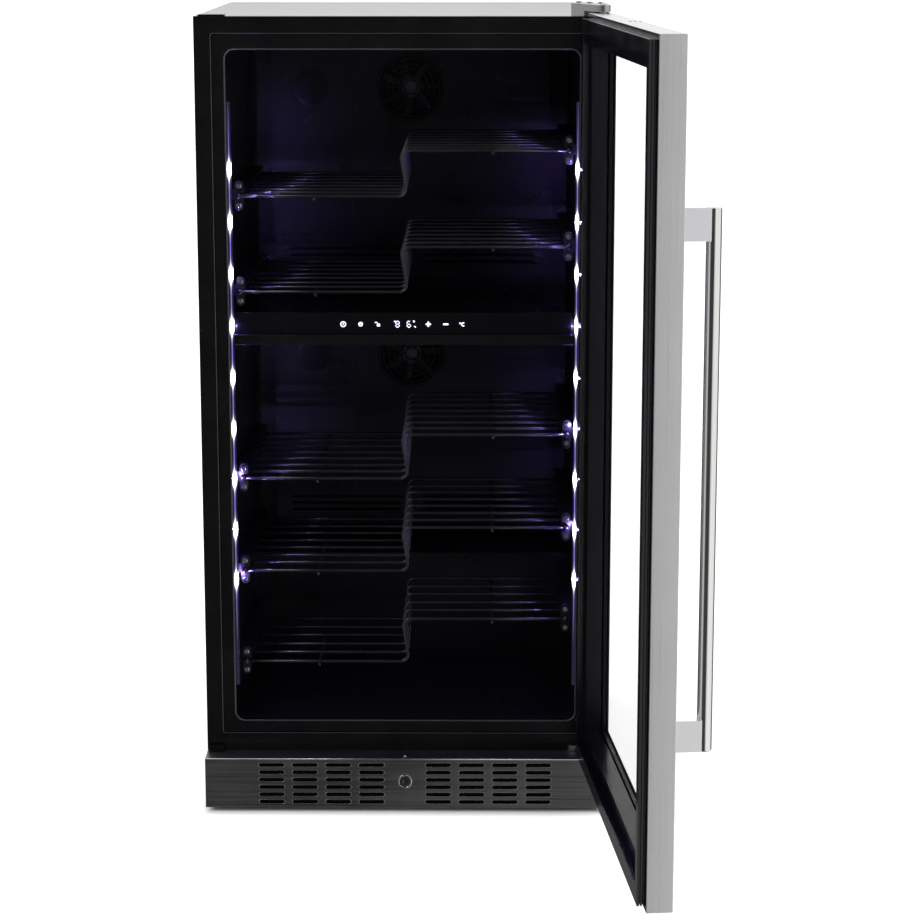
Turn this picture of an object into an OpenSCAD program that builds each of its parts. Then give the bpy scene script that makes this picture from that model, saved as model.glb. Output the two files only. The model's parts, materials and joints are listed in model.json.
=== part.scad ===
// Built-in wine cooler with a glass door, five sliding wire racks and two
// cooling zones. Millimetres, +Z up, the front faces -Y. The origin is on the
// floor, under the middle of the cabinet's front frame.

/* [Cabinet] */
// Cabinet width
cab_w = 595; // [590:1:600]
// Height of the cabinet top above the floor
cab_h = 1175; // [1170:1:1180]
// Cabinet depth without the door
cab_d = 549; // [545:1:553]
// Height of the kick plate's top edge
kick_h = 82.3; // [81.5:0.1:83]
// How far the kick plate stands out in front of the cabinet
kick_out = 39.5; // [38:0.5:40]
// Width of the cavity
cavity_w = 508; // [507:1:509]

/* [Door] */
// Door width
door_w = 592; // [588:1:594]
// Door thickness
door_t = 34; // [33.5:0.5:35]
// Angle the door stands open
door_open = 95.4; // [0:0.1:110]
// Diameter of the handle bar
handle_d = 19; // [17:0.5:20]

/* [Racks] */
// Height step from the left half of a rack to its right half
rack_step = 66.6; // [62:0.1:70]
// Diameter of the cross wires
wire_d = 5; // [4:0.5:5.5]

/* [Hidden] */
$fn = 40;
e = 0.01;
sheet = 1;
half_w = cab_w / 2;
base_z = 6;
frame_t = 16;
band_w = 24;
// cavity
cav_x = cavity_w / 2;
cav_lo = 127.8;
cav_hi = cab_h - 47;
cav_back = 505;
cav_r = 14;
liner_t = 1.5;
hump_y = 330;
hump_z = 300;
room_y = hump_y + 41.5;
room_z = hump_z - 42;
foam_back = cab_d - 2.4;
// door, in its closed position
gap = 11;
door_in = -gap;
door_out = -gap - door_t;
door_lo = 86.3;
door_hi = cab_h + 5.6;
door_x = door_w / 2;
rail_side = 46;
rail_top = 45;
rail_bot = 49;
win_x = door_x - rail_side;
win_lo = door_lo + rail_bot;
win_hi = door_hi - rail_top;
glass_in = door_in - 22;
pivot = [door_x - 12, door_in - 20];
pin_r = 4;
hinge_x = [pivot[0] - 42, pivot[0] + 10];
hinge_z = door_hi + 1.9;
// handle
handle_x = -door_x + 24;
handle_y = door_out - 40;
handle_lo = 291.5;
handle_hi = 973.5;
post_h = 40.6;
post_w = 17;
// racks: left-half heights from the top down, and bottles front to back
rack_z = [914.8, 773.9, 493.8, 352, 210.6];
rack_rows = [4, 4, 4, 4, 3];
rail_x = 240;
rail_d = 8;
rail_y0 = 30;
front_wire_y = 34;
row_pitch = 88;
row_gap = 46;
bend_r = 13;
guide_y0 = 38;
guide_y1 = 46;
// lights
led_lo = 342;
led_pitch = 76.6;
led_n = 9;
strip_lo = 179;
strip_hi = 1052;
// zones
div_lo = 698;
div_hi = 713;
glass_hi = 745;
symbol_x = [-89, -63.5, -38.5, -9.5, 7, 35.5, 61, 85.5];
fan_z = [1042, 605];
fan_y = 455;
duct_x = 225;
duct_z = [[735, 1116], [318, 690]];
cap_x = -161;
// lock
lock_z = 47.6;
bolt_y = -28;
// feet
foot_x = half_w - 38;
foot_y = [42, cab_d - 50];
// machine room: compressor and condenser fan centres
comp = [150, 459];
fan_c = [-70, 400, 88];

// ---- shared shapes ----

function arc(cx, cy, r, a0, a1, n) =
  [for (i = [0:n]) let (a = a0 + (a1 - a0) * i / n)
    [cx + r * cos(a), cy + r * sin(a)]];

function rrect(x0, z0, x1, z1, r, n = 6) = concat(
  arc(x1 - r, z1 - r, r, 0, 90, n), arc(x0 + r, z1 - r, r, 90, 180, n),
  arc(x0 + r, z0 + r, r, 180, 270, n), arc(x1 - r, z0 + r, r, 270, 360, n));

function rect(x0, z0, x1, z1) = [[x0, z0], [x1, z0], [x1, z1], [x0, z1]];

function slot(cx, cz, len, w, n = 5) = concat(
  arc(cx + (len - w) / 2, cz, w / 2, -90, 90, n),
  arc(cx - (len - w) / 2, cz, w / 2, 90, 270, n));

// box from one corner to the other
module box(a, b) {
  translate(a) cube(b - a);
}

// outline in X and Z, filled from y0 to y1
module xz(points, y0, y1) {
  translate([0, y1, 0]) rotate([90, 0, 0]) linear_extrude(y1 - y0) polygon(points);
}

// outline in Y and Z, filled from x0 to x1
module yz(points, x0, x1) {
  translate([x0, 0, 0]) rotate([90, 0, 90]) linear_extrude(x1 - x0) polygon(points);
}

module rod_x(x0, x1, y, z, d) {
  translate([x0, y, z]) rotate([0, 90, 0]) cylinder(d = d, h = x1 - x0);
}

module rod_y(x, y0, y1, z, d) {
  translate([x, y0, z]) rotate([-90, 0, 0]) cylinder(d = d, h = y1 - y0);
}

module rod_z(x, y, z0, z1, d) {
  translate([x, y, z0]) cylinder(d = d, h = z1 - z0);
}

// picture-frame ring between two rectangles
module ring(outer, inner, y0, y1) {
  difference() {
    xz(outer, y0, y1);
    xz(inner, y0 - 1, y1 + 1);
  }
}

// turns a closed-door piece about the hinge pins to where the door stands
module on_door() {
  translate([pivot[0], pivot[1], 0]) rotate([0, 0, door_open])
    translate([-pivot[0], -pivot[1], 0]) children();
}

// ---- cabinet shell ----

module side_panel(s) {
  color([0.09, 0.09, 0.10]) {
    x0 = s < 0 ? -half_w : half_w - sheet;
    yz([[0.5, base_z], [cab_d, base_z], [cab_d, cab_h], [frame_t + 0.1, cab_h],
        [frame_t + 0.1, kick_h], [0.5, kick_h]], x0, x0 + sheet);
    f0 = s < 0 ? -half_w + sheet + 0.05 : half_w - sheet - 12.05;
    box([f0, cab_d - sheet, base_z], [f0 + 12, cab_d, cab_h - sheet - 0.1]);
  }
}

module side_panel_left() {
  side_panel(-1);
}

module side_panel_right() {
  side_panel(1);
}

module top_panel() {
  color([0.09, 0.09, 0.10]) {
    box([-half_w + 1.1, frame_t + 0.1, cab_h - sheet], [half_w - 1.1, cab_d, cab_h]);
    box([-half_w + 13.2, cab_d - sheet, cab_h - 16],
        [half_w - 13.2, cab_d, cab_h - sheet - 0.05]);
  }
}

module back_panel() {
  color([0.55, 0.56, 0.57])
    difference() {
      box([-half_w + 1.2, foam_back + 0.1, room_z + 2],
          [half_w - 1.2, cab_d - 1.1, cab_h - 1.1]);
      for (x = [-180:180:180])
        box([x - 60, foam_back + 0.7, 420], [x + 60, cab_d, 430]);
    }
}

module insulation_foam() {
  color([0.86, 0.82, 0.66])
    difference() {
      box([-half_w + 1.2, frame_t + 0.2, 92.2], [half_w - 1.2, foam_back, cab_h - 1.1]);
      box([-half_w, room_y - 1, 0], [half_w, cab_d, room_z + 0.2]);
      box([-cav_x - 1.6, 0, cav_lo - 1.6], [cav_x + 1.6, hump_y - 0.1 + 1.7, cav_hi + 1.6]);
      box([-cav_x - 1.6, hump_y - 5, hump_z - 1.6], [cav_x + 1.6, cav_back + 1.6, cav_hi + 1.6]);
    }
}

module cavity_solid(grow, y0) {
  intersection() {
    xz(rect(-cav_x - grow, cav_lo - grow, cav_x + grow, cav_hi + grow), y0,
       cav_back + grow);
    union() {
      box([-half_w, y0 - 1, 0], [half_w, hump_y + grow, cab_h]);
      box([-half_w, y0 - 1, hump_z - grow], [half_w, cab_d, cab_h]);
    }
  }
}

module inner_liner() {
  color([0.05, 0.05, 0.06])
    difference() {
      cavity_solid(liner_t, frame_t + 0.2);
      cavity_solid(0, frame_t - 2);
    }
}

module front_frame() {
  color([0.03, 0.03, 0.035])
    difference() {
      xz(rect(-half_w, kick_h + 0.1, half_w, cab_h), 0, frame_t);
      xz(rrect(-cav_x, cav_lo, cav_x, cav_hi, cav_r), -1, frame_t + 1);
      xz(rect(-half_w + band_w, kick_h + band_w + 3, half_w - band_w, cab_h - band_w), -1, 3);
      for (s = [-1, 1]) {
        translate([s * half_w, 0, cab_h]) rotate([0, s * 45, 0])
          box([-0.4, -1, -34.5], [0.4, 0.8, 3]);
        translate([s * half_w, 0, kick_h]) rotate([0, s * 45 + 90, 0])
          box([-3, -1, -0.4], [36, 0.8, 0.4]);
      }
    }
}

module machine_room_sheet() {
  color([0.35, 0.36, 0.37]) {
    box([-half_w + 1.2, frame_t + 0.2, 91], [half_w - 1.2, room_y + 0.1, 92.1]);
    box([-half_w + 1.2, room_y - 0.9, 92.1], [half_w - 1.2, room_y + 0.1, room_z + 0.1]);
    box([-half_w + 1.2, room_y - 0.9, room_z - 0.9], [half_w - 1.2, foam_back - 0.2, room_z + 0.1]);
  }
}

// ---- base, feet and kick plate ----

module base_pan() {
  color([0.25, 0.26, 0.27])
    difference() {
      union() {
        box([-half_w + 1.2, 0.6, base_z], [half_w - 1.2, cab_d - 3, base_z + 2]);
        box([-200, 0.6, base_z - 0.6], [200, cab_d - 3, base_z + e]);
        box([-half_w + 1.2, 0.6, base_z + 2.05], [half_w - 1.2, 2.6, kick_h - 0.4]);
      }
      for (x = [-200:100:200])
        box([x - 42, -1, 18], [x + 42, 4, 70]);
      for (x = [-foot_x, foot_x])
        for (y = foot_y)
          rod_z(x, y, 0, 20, 9);
    }
}

module foot_nuts() {
  color([0.62, 0.63, 0.64])
    for (x = [-foot_x, foot_x])
      for (y = foot_y)
        difference() {
          translate([x, y, base_z + 2]) cylinder(r = 8, h = 12, $fn = 6);
          rod_z(x, y, base_z, base_z + 20, 8.12);
        }
}

module foot(x, y) {
  color([0.06, 0.06, 0.06]) {
    translate([x, y, 0]) cylinder(r = 17, h = 3.4);
    translate([x, y, 3.4]) cylinder(r = 12, h = 1.4);
    rod_z(x, y, 4.8, 30, 8);
  }
}

module foot_front_left() {
  foot(-foot_x, foot_y[0]);
}

module foot_front_right() {
  foot(foot_x, foot_y[0]);
}

module foot_rear_left() {
  foot(-foot_x, foot_y[1]);
}

module foot_rear_right() {
  foot(foot_x, foot_y[1]);
}

module kick_plate() {
  color([0.38, 0.38, 0.39])
    difference() {
      union() {
        box([-half_w, -kick_out, base_z], [half_w, -kick_out + 1.2, kick_h]);
        box([-half_w, -kick_out + 1.2, kick_h - 1.2], [half_w, -0.3, kick_h]);
        box([-half_w, -kick_out + 1.2, base_z], [half_w, -kick_out + 9, base_z + 1.2]);
        for (x = [-half_w, half_w - 1.2])
          box([x, -kick_out + 1.2, base_z + 1.2], [x + 1.2, -0.3, kick_h - 1.2]);
      }
      for (s = [-1, 1])
        for (i = [0:3])
          for (k = [0:5])
            xz(slot(s * (49.7 + i * 49.6), 15.4 + k * 11.5, 38.4, 5.8),
               -kick_out - 1, -kick_out + 2);
      rod_y(0, -kick_out - 1, -kick_out + 2, lock_z, 18.6);
      rod_z(0, bolt_y, kick_h - 3, kick_h + 1, 6);
    }
}

module kick_plate_screws() {
  color([0.5, 0.5, 0.5])
    for (x = [-262, 262])
      translate([x, -8, kick_h - 1.2])
        mirror([0, 0, 1])
          union() {
            cylinder(r = 3.4, h = 2.2);
            cylinder(r = 1.7, h = 9);
          }
}

// ---- door lock in the kick plate ----

module lock_housing() {
  color([0.30, 0.30, 0.31])
    difference() {
      box([-13, -kick_out + 1.3, lock_z - 14], [13, -5, kick_h - 1.4]);
      rod_y(0, -kick_out, -8, lock_z, 17.2);
      rod_z(0, bolt_y, lock_z, kick_h, 5.2);
    }
}

module lock_escutcheon() {
  color([0.75, 0.75, 0.76])
    translate([0, -kick_out - 2.2, lock_z]) rotate([-90, 0, 0])
      difference() {
        union() {
          cylinder(r = 10.6, h = 2.1);
          translate([0, 0, 2.1]) cylinder(r = 9.2, h = 1.3);
        }
        translate([0, 0, -1]) cylinder(r = 8.3, h = 6);
      }
}

module lock_barrel() {
  color([0.20, 0.20, 0.21])
    difference() {
      union() {
        rod_y(0, -kick_out - 1.4, -12, lock_z, 16);
        rod_y(0, -12, -8.6, lock_z, 6);
      }
      rod_y(0, -kick_out - 2, -kick_out + 4, lock_z, 7);
    }
}

module lock_bolt() {
  color([0.85, 0.85, 0.86]) {
    rod_z(0, bolt_y, lock_z + 9.2, kick_h + 0.8, 5);
    translate([0, bolt_y, kick_h + 0.8]) cylinder(r1 = 2.5, r2 = 1.7, h = 0.8);
  }
}

// ---- machine room ----

module machine_room_cover() {
  color([0.45, 0.46, 0.47])
    difference() {
      box([-half_w + 14, cab_d - 1.9, base_z + 2.1], [half_w - 14, cab_d - 1.1, room_z + 0.1]);
      for (x = [-100:50:150])
        for (k = [0:8])
          xz(slot(x, 60 + k * 18, 36, 7), cab_d - 3, cab_d);
      rod_y(-225, cab_d - 3, cab_d, 60, 17);
    }
}

module cord_gland() {
  color([0.05, 0.05, 0.05])
    difference() {
      union() {
        rod_y(-225, cab_d - 9, cab_d + 0.8, 60, 16.8);
        rod_y(-225, cab_d - 1.05, cab_d + 1.2, 60, 24);
        rod_y(-225, cab_d - 5, cab_d - 1.95, 60, 22);
      }
      rod_y(-225, cab_d - 12, cab_d + 4, 60, 8);
    }
}

module compressor() {
  color([0.04, 0.04, 0.045]) {
    translate([comp[0], comp[1], 0])
      rotate_extrude()
        polygon([[0, 22], [40, 22], [56, 30], [62, 44], [63, 92], [66, 94], [66, 99],
                 [63, 101], [62, 140], [54, 160], [36, 172], [0, 176]]);
    difference() {
      box([comp[0] - 84, comp[1] - 45, 22], [comp[0] + 84, comp[1] + 45, 25]);
      for (sx = [-1, 1])
        for (sy = [-1, 1])
          rod_z(comp[0] + sx * 74, comp[1] + sy * 36, 10, 40, 12);
    }
    box([comp[0] - 92, comp[1] - 22, 60], [comp[0] - 60, comp[1] + 22, 108]);
    rod_z(comp[0] + 30, comp[1] - 20, 168, 190, 8);
    rod_z(comp[0] - 30, comp[1] - 20, 168, 186, 6);
  }
}

module compressor_grommets() {
  color([0.10, 0.10, 0.10])
    for (sx = [-1, 1])
      for (sy = [-1, 1])
        translate([comp[0] + sx * 74, comp[1] + sy * 36, 0])
          union() {
            translate([0, 0, base_z + 2]) cylinder(r = 9, h = 13.9);
            translate([0, 0, base_z + 15.9]) cylinder(r = 5.8, h = 4);
            translate([0, 0, 25.1]) cylinder(r = 9, h = 4);
          }
}

module condenser() {
  color([0.06, 0.06, 0.065]) {
    for (i = [0:15])
      box([-210 + i * 18, 90, 14], [-209.2 + i * 18, 330, 80]);
    for (z = [30, 62])
      for (k = [0:4])
        rod_x(-216, 68, 115 + k * 48, z, 8);
    for (z = [30, 62])
      for (k = [0:3])
        translate([k % 2 == 0 ? 68 : -216, 139 + k * 48, z])
          rotate([0, 0, k % 2 == 0 ? -90 : 90])
            rotate_extrude(angle = 180) translate([24, 0]) circle(d = 8);
  }
}

module condenser_fan_shroud() {
  color([0.08, 0.08, 0.085])
    difference() {
      box([fan_c[0] - 66, fan_c[1], base_z + 2.1], [fan_c[0] + 66, fan_c[1] + 24, 156]);
      rod_y(fan_c[0], fan_c[1] - 1, fan_c[1] + 30, fan_c[2], 122);
    }
  color([0.08, 0.08, 0.085]) {
    rod_y(fan_c[0], fan_c[1] + 16, fan_c[1] + 24, fan_c[2], 40);
    for (a = [45:90:315])
      translate([fan_c[0], fan_c[1] + 18, fan_c[2]]) rotate([0, a, 0])
        box([18, 0, -3], [62, 5, 3]);
  }
}

// axial rotor on a shaft along Y, its hub starting at y = 0
module rotor(r, hub, depth, blades) {
  rotate([-90, 0, 0]) cylinder(r = hub, h = depth);
  for (i = [0:blades - 1])
    rotate([0, i * 360 / blades, 0]) rotate([28, 0, 0])
      translate([hub - 2, depth * 0.5 - 0.9, -depth * 0.42])
        cube([r - hub, 1.8, depth * 0.84]);
}

module condenser_fan_rotor() {
  color([0.12, 0.12, 0.13])
    translate([fan_c[0], fan_c[1] + 1, fan_c[2]]) rotor(57, 18, 14, 7);
}

module drain_tray() {
  color([0.16, 0.16, 0.17])
    difference() {
      box([comp[0] - 85, comp[1] - 72, 196], [comp[0] + 85, comp[1] + 72, 222]);
      box([comp[0] - 83, comp[1] - 70, 198], [comp[0] + 83, comp[1] + 70, 230]);
    }
}

module control_box() {
  color([0.70, 0.70, 0.68]) {
    box([-285, 386, base_z + 2.1], [-190, 476, 48]);
    box([-282, 389, 48], [-193, 473, 51]);
  }
}

// ---- air ducts, fans and evaporators on the rear wall ----

module air_duct(zone) {
  z0 = duct_z[zone][0];
  z1 = duct_z[zone][1];
  color([0.045, 0.045, 0.05]) {
    rod_y(0, fan_y + 17.2, fan_y + 34, fan_z[zone], 36);
    for (a = [45:90:315])
      translate([0, fan_y, fan_z[zone]]) rotate([0, a, 0]) {
        box([10, 17.2, -2], [61, 20.2, 2]);
        box([57, 1.9, -2], [61, 20.2, 2]);
      }
    difference() {
      union() {
        xz(rrect(-duct_x, z0, duct_x, z1, 10, 3), fan_y, cav_back - 0.2);
        for (k = [0:2])
          box([-duct_x + 12, fan_y - 2, z0 + 16 + k * 11], [duct_x - 12, fan_y + 1, z0 + 20 + k * 11]);
        for (s = [-1, 1])
          box([s * 98 - 3, fan_y - 2.5, z0 + 54], [s * 98 + 3, fan_y + 1, z1 - 8]);
      }
      box([-duct_x + 2, fan_y + 2, z0 + 2], [duct_x - 2, cav_back + 1, z1 - 2]);
      rod_y(0, fan_y - 3, fan_y + 3, fan_z[zone], 104);
      for (k = [0:2])
        for (s = [-1, 1])
          box([s * 110 - 90, fan_y - 1, z0 + 21.5 + k * 11], [s * 110 + 90, fan_y + 3, z0 + 25.5 + k * 11]);
      rod_y(cap_x, fan_y - 3, fan_y + 3, fan_z[zone], 50);
    }
  }
}

module upper_air_duct() {
  air_duct(0);
}

module lower_air_duct() {
  air_duct(1);
}

module fan_grilles() {
  color([0.06, 0.06, 0.065])
    for (z = fan_z)
      translate([0, fan_y - 2.6, z]) rotate([-90, 0, 0]) {
        for (r = [12, 21, 30, 39, 48])
          difference() {
            cylinder(r = r, h = 2.4);
            translate([0, 0, -1]) cylinder(r = r - 2.4, h = 5);
          }
        difference() {
          cylinder(r = 56, h = 2.4);
          translate([0, 0, -1]) cylinder(r = 50.5, h = 5);
        }
        for (a = [0:60:300])
          rotate([0, 0, a]) box([9.2, -1.1, 0.4], [51, 1.1, 2.2]);
      }
}

module upper_fan_rotor() {
  color([0.10, 0.10, 0.11])
    translate([0, fan_y + 4, fan_z[0]]) rotor(48, 15, 12, 7);
}

module lower_fan_rotor() {
  color([0.10, 0.10, 0.11])
    translate([0, fan_y + 4, fan_z[1]]) rotor(48, 15, 12, 7);
}

module evaporators() {
  color([0.72, 0.73, 0.74])
    for (i = [0, 1]) {
      z0 = duct_z[i][0] + 56;
      for (k = [0:12])
        box([-196 + k * 32.6, fan_y + 22, z0], [-195 + k * 32.6, cav_back - 4, z0 + 180]);
      for (k = [0:3])
        rod_x(-205, 205, fan_y + 34, z0 + 22 + k * 45, 7);
    }
}

module filter_caps() {
  color([0.07, 0.07, 0.075])
    for (z = fan_z)
      translate([cap_x, fan_y - 5, z]) rotate([-90, 0, 0])
        difference() {
          union() {
            translate([0, 0, 2]) cylinder(r = 29, h = 2.8);
            cylinder(r = 25, h = 2);
            translate([0, 0, 4.8]) cylinder(r = 24.8, h = 20);
          }
          for (a = [0:45:315])
            rotate([0, 0, a]) box([9, -1.6, -1], [21, 1.6, 1.4]);
        }
}

// ---- lights, divider and display ----

module led_strips() {
  color([0.80, 0.82, 0.95])
    for (s = [-1, 1])
      difference() {
        translate([s * (cav_x - 2.3), 0, 0])
          box([-2.1, 18, strip_lo], [2.1, 31, strip_hi]);
        for (k = [0:led_n - 1])
          translate([s * (cav_x - 4.8), 24.5, led_lo + k * led_pitch])
            rotate([0, s * 90, 0]) cylinder(r = 2.4, h = 2);
      }
}

module led_chips() {
  color([0.95, 0.95, 1.0])
    for (s = [-1, 1])
      for (k = [0:led_n - 1])
        translate([s * (cav_x - 4.6), 24.5, led_lo + k * led_pitch])
          rotate([0, s * 90, 0]) cylinder(r = 2.2, h = 1.6);
}

module zone_divider() {
  color([0.035, 0.035, 0.04]) {
    box([-cav_x + 0.4, 33, div_lo + 1], [cav_x - 0.4, fan_y + 20, div_hi - 1.5]);
    difference() {
      box([-cav_x + 6, 17, div_lo], [cav_x - 6, 36, div_hi]);
      box([-cav_x + 14, 16, div_lo + 5], [cav_x - 14, 18.2, div_hi - 5]);
    }
  }
}

module control_glass() {
  color([0.03, 0.03, 0.05, 0.6])
    xz(rrect(-cav_x + 8, div_hi + 0.1, cav_x - 8, glass_hi, 3, 3), 22, 25.4);
}

module display_board() {
  color([0.06, 0.10, 0.07]) {
    box([-98, 25.6, div_hi + 4], [98, 27.2, glass_hi - 5]);
    for (x = symbol_x)
      rod_y(x, 27.1, 29.4, 728, 7);
    box([-98, 27.1, div_hi + 0.2], [98, 30, div_hi + 4.1]);
  }
}

// ---- racks and their guides ----

function rail_len(n) = n * row_pitch + 8;

module rack_guide(s, z, len) {
  translate([0, 0, z])
    difference() {
      union() {
        mirror([s < 0 ? 1 : 0, 0, 0]) {
          box([rail_x - 6.5, guide_y1 + 0.05, -7.5], [cav_x - 0.3, guide_y1 + len, 7.5]);
          xz([for (p = slot(0, 0, 43.5, 13)) [rail_x + p[1], p[0]]], guide_y0, guide_y1);
        }
      }
      rod_y(s * rail_x, guide_y0 - 1, guide_y1 + len + 1, 0, rail_d + 0.8);
      mirror([s < 0 ? 1 : 0, 0, 0])
        box([rail_x - 8, guide_y0 - 1, -3.1], [rail_x, guide_y1 + len + 1, 3.1]);
    }
}

module rack_guides() {
  color([0.07, 0.07, 0.075])
    for (i = [0:4]) {
      rack_guide(-1, rack_z[i], rail_len(rack_rows[i]) - 18);
      rack_guide(1, rack_z[i] + rack_step, rail_len(rack_rows[i]) - 18);
    }
}

module guide_screws() {
  color([0.78, 0.78, 0.80])
    for (i = [0:4])
      for (s = [-1, 1])
        for (k = [-14, 14])
          translate([s * rail_x, guide_y0 - 1.8, rack_z[i] + (s > 0 ? rack_step : 0) + k])
            rotate([-90, 0, 0]) {
              difference() {
                cylinder(r = 3.6, h = 1.8);
                box([-2.4, -0.4, -1], [2.4, 0.4, 0.7]);
              }
            }
}

// quarter bend in the XZ plane about a centre, starting at angle a0
module bend(x, y, z, a0) {
  translate([x, y, z]) rotate([90, 0, 0]) rotate([0, 0, a0])
    rotate_extrude(angle = 90) translate([bend_r, 0]) circle(d = wire_d);
}

// one cross wire with its step up in the middle, centred on y
module step_wire(y, z) {
  rod_x(-rail_x, -bend_r, y, z, wire_d);
  bend(-bend_r, y, z + bend_r, -90);
  rod_z(0, y, z + bend_r, z + rack_step - bend_r, wire_d);
  bend(bend_r, y, z + rack_step - bend_r, 90);
  rod_x(bend_r, rail_x, y, z + rack_step, wire_d);
}

module rack(i) {
  z = rack_z[i];
  n = rack_rows[i];
  len = rail_len(n);
  color([0.06, 0.06, 0.065]) {
    rod_y(-rail_x, rail_y0, rail_y0 + len, z, rail_d);
    rod_y(rail_x, rail_y0, rail_y0 + len, z + rack_step, rail_d);
    for (k = [0:n - 1]) {
      step_wire(front_wire_y + k * row_pitch, z);
      step_wire(front_wire_y + k * row_pitch + row_gap, z);
    }
    for (s = [-1, 1])
      rod_y(s * 130, front_wire_y - 3, front_wire_y + (n - 1) * row_pitch + row_gap + 3,
            z + (s > 0 ? rack_step : 0) - wire_d + 0.6, wire_d);
  }
}

module rack_1() {
  rack(0);
}

module rack_2() {
  rack(1);
}

module rack_3() {
  rack(2);
}

module rack_4() {
  rack(3);
}

module rack_5() {
  rack(4);
}

// ---- hinges ----

module top_hinge_bracket() {
  color([0.62, 0.62, 0.63])
    difference() {
      union() {
        translate([0, 0, hinge_z]) linear_extrude(9.5)
          polygon([[hinge_x[0], 62], [hinge_x[0], 40], [pivot[0] - 9, pivot[1] - 4],
                   [hinge_x[1] - 0.4, pivot[1] + 1], [hinge_x[1] - 0.4, 62]]);
        translate([0, 0, cab_h + 0.05]) linear_extrude(hinge_z - cab_h)
          polygon([[hinge_x[0], 62], [hinge_x[0], 40], [hinge_x[0] + 16.3, 3],
                   [hinge_x[1] - 0.4, 3], [hinge_x[1] - 0.4, 62]]);
        rod_z(pivot[0], pivot[1], hinge_z, hinge_z + 9.5, 20);
        rod_z(pivot[0], pivot[1], door_hi - 16, hinge_z + 10.3, 2 * pin_r);
      }
      for (i = [0:2])
        rod_z(pivot[0] - 31 + i * 15, 50 - i * 15, cab_h - 1, hinge_z + 12, 5.4);
    }
}

module bottom_hinge_bracket() {
  color([0.62, 0.62, 0.63])
    difference() {
      union() {
        box([pivot[0] - 13, pivot[1], kick_h + 0.1], [half_w - 1, -0.2, kick_h + 3]);
        rod_z(pivot[0], pivot[1], kick_h + 0.1, kick_h + 3, 26);
        rod_z(pivot[0], pivot[1], kick_h + 0.1, kick_h + 20, 2 * pin_r);
        box([pivot[0] - 40, -3.2, kick_h + 0.1], [half_w - 1, -0.2, kick_h + 8.8]);
      }
      for (x = [-32, -18])
        rod_y(pivot[0] + x, -5, 2, kick_h + 4.9, 4);
    }
}

// socket-head screw, head down from z = 0 to its top face
module socket_screw(r, h, hex) {
  difference() {
    cylinder(r = r, h = h);
    translate([0, 0, h / 2]) cylinder(r = hex, h = h, $fn = 6);
  }
}

module hinge_screws() {
  color([0.80, 0.80, 0.81]) {
    for (i = [0:2])
      translate([pivot[0] - 31 + i * 15, 50 - i * 15, hinge_z + 9.52])
        socket_screw(4.6, 2.6, 2);
    for (x = [-32, -18])
      translate([pivot[0] + x, -3.22, kick_h + 4.9]) rotate([90, 0, 0])
        socket_screw(3.4, 1.8, 1.5);
  }
}

module hinge_hole_covers() {
  color([0.03, 0.03, 0.035]) {
    box([-half_w + 6, 4, cab_h + 0.05], [-half_w + 44, 26, cab_h + 2.4]);
    box([-half_w + 3, -9, kick_h + 0.6], [-half_w + 26, -0.1, kick_h + 8.8]);
  }
}

// ---- door ----

module door_outer_frame() {
  color([0.70, 0.70, 0.71])
    on_door()
      difference() {
        box([-door_x, door_out, door_lo], [door_x, door_in, door_hi]);
        xz(rect(-door_x + 1, door_lo + 1, door_x - 1, door_hi - 1), door_out + 1, door_in + 1);
        xz(rect(-win_x, win_lo, win_x, win_hi), door_out - 1, door_out + 2);
        for (z = [door_lo - 1, door_hi - 2])
          rod_z(pivot[0], pivot[1], z, z + 3, 17);
        rod_z(0, bolt_y, door_lo - 1, door_lo + 2, 8);
        for (i = [0:2])
          rod_z(pivot[0] - 34 - i * 9, pivot[1] + 4, door_hi - 2, door_hi + 1, 3.4);
      }
}

module door_inner_frame() {
  color([0.03, 0.03, 0.035])
    on_door()
      difference() {
        xz(rect(-door_x + 1.1, door_lo + 1.1, door_x - 1.1, door_hi - 1.1), door_out + 1.1, door_in);
        xz(rect(-win_x, win_lo, win_x, win_hi), door_out, door_in + 1);
        xz(rect(-win_x - 12.3, win_lo - 12.3, win_x + 12.3, win_hi + 12.3),
           door_out, glass_in + 0.1);
        for (z = [door_lo, door_hi - 18.2])
          rod_z(pivot[0], pivot[1], z, z + 18.2, 14);
        rod_z(0, bolt_y, door_lo, door_lo + 14, 7);
        for (z = [handle_lo + post_h / 2, handle_hi - post_h / 2])
          rod_y(handle_x, door_out, door_out + 14, z, 6);
      }
}

module door_panes() {
  color([0.75, 0.82, 0.86, 0.25])
    on_door() {
      xz(rect(-win_x - 12, win_lo - 12, win_x + 12, win_hi + 12), door_out + 1.2, door_out + 4.2);
      xz(rect(-win_x - 12, win_lo - 12, win_x + 12, win_hi + 12), glass_in - 3, glass_in);
    }
}

module door_spacer() {
  color([0.12, 0.12, 0.125])
    on_door()
      ring(rect(-win_x - 10, win_lo - 10, win_x + 10, win_hi + 10),
           rect(-win_x - 0.5, win_lo - 0.5, win_x + 0.5, win_hi + 0.5),
           door_out + 4.25, glass_in - 3.05);
}

module door_gasket() {
  color([0.02, 0.02, 0.022])
    on_door()
      difference() {
        xz(rect(-door_x + 10, door_lo + 6, door_x - 10, door_hi - 7), door_in + 0.05, -0.5);
        xz(rect(-door_x + 26, door_lo + 26, door_x - 26, door_hi - 27), door_in - 1, 1);
        for (y = [-8.6, -5])
          ring(rect(-door_x, door_lo, door_x, door_hi),
               rect(-door_x + 12.6, door_lo + 8.6, door_x - 12.6, door_hi - 9.6), y, y + 1.4);
        for (y = [-8.6, -5])
          xz(rect(-door_x + 23.4, door_lo + 23.4, door_x - 23.4, door_hi - 24.4), y, y + 1.4);
      }
}

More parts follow.
